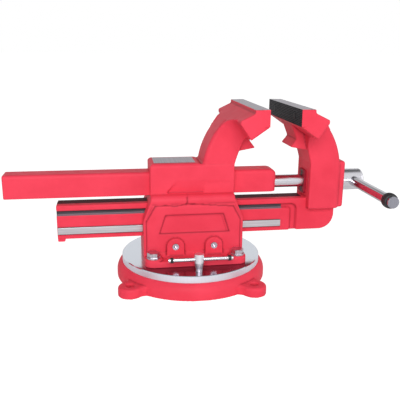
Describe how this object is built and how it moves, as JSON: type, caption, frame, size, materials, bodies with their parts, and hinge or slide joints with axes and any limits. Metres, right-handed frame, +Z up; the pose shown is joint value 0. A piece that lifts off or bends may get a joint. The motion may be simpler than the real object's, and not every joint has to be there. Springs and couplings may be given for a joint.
{
  "type": "bench vise on a swivel base",
  "caption": "Heavy red bench vise on a bolted round swivel base, with an anvil, pipe jaws and a long slide under its covered spindle.",
  "frame": {"origin": "swivel axis at the underside of the base, where it stands on the bench", "axes": "+X along the slide from the body towards the moving jaw and the handle, +Y away from the lock screw, +Z up"},
  "size_m": [0.5703, 0.3032, 0.2728],
  "materials": {
    "red_paint": "satin",
    "polished_steel": "mirror polished",
    "chrome_plate": "bright plated",
    "zinc_plate": "bright zinc plated",
    "machined_steel": "machined",
    "cast_grey": "as cast",
    "hardened_plate": "black oxide, serrated",
    "black_steel": "black oxide",
    "black_rubber": "matte"
  },
  "bodies": {
    "base": {"base_casting": "red_paint"},
    "swivel_head": {"swivel_disc": "polished_steel", "pivot_bolt": "zinc_plate", "pivot_washer": "zinc_plate", "pivot_nut": "zinc_plate", "lock_nut": "machined_steel", "fixed_jaw_body": "red_paint", "body_bolts": "zinc_plate", "body_washers": "zinc_plate", "rear_guard": "red_paint", "front_guard": "red_paint", "spindle_nut": "cast_grey", "housing_screws": "black_steel", "slide_gib": "machined_steel", "gib_screws": "zinc_plate", "fixed_jaw_plate": "hardened_plate", "fixed_plate_pins": "hardened_plate"},
    "moving_jaw": {"moving_jaw": "red_paint", "slide_bar": "red_paint", "slide_screws": "black_steel", "slide_stop": "red_paint", "stop_screw": "black_steel", "moving_jaw_plate": "hardened_plate", "moving_plate_pins": "hardened_plate", "keeper_plate": "red_paint", "keeper_screws": "black_steel"},
    "spindle": {"spindle": "chrome_plate", "thrust_washer": "zinc_plate"},
    "handle_bar": {"handle_bar": "chrome_plate", "handle_rings": "black_rubber", "handle_end_caps": "chrome_plate"},
    "lock_screw": {"lock_screw": "chrome_plate"},
    "lock_bar": {"lock_bar": "chrome_plate", "lock_bar_rings": "black_rubber", "lock_bar_tips": "chrome_plate"}
  },
  "joints": [
    {"name": "head_swivel", "type": "hinge", "parent": "base", "child": "swivel_head", "pos_m": [0, 0, 0.03], "axis": [0, 0, 1], "continuous": true},
    {"name": "jaw_slide", "type": "slide", "parent": "swivel_head", "child": "moving_jaw", "axis": [1, 0, 0], "range_m": [-0.0453, 0.118]},
    {"name": "spindle_turn", "type": "hinge", "parent": "moving_jaw", "child": "spindle", "pos_m": [0.25, 0, 0.1483], "axis": [1, 0, 0], "range_deg": [-2730, 7100]},
    {"name": "handle_slide", "type": "slide", "parent": "spindle", "child": "handle_bar", "axis": [0, 1, 0], "range_m": [-0.1148, 0.1148]},
    {"name": "lock_turn", "type": "hinge", "parent": "swivel_head", "child": "lock_screw", "pos_m": [0, -0.093, 0.05], "axis": [0, 0, -1], "range_deg": [-45, 45]},
    {"name": "lock_bar_slide", "type": "slide", "parent": "lock_screw", "child": "lock_bar", "axis": [1, 0, 0], "range_m": [-0.036, 0.0309]}
  ],
  "couplings": [
    {"joint": "spindle_turn", "follows": "jaw_slide", "rad_per_m": 1047.2}
  ]
}
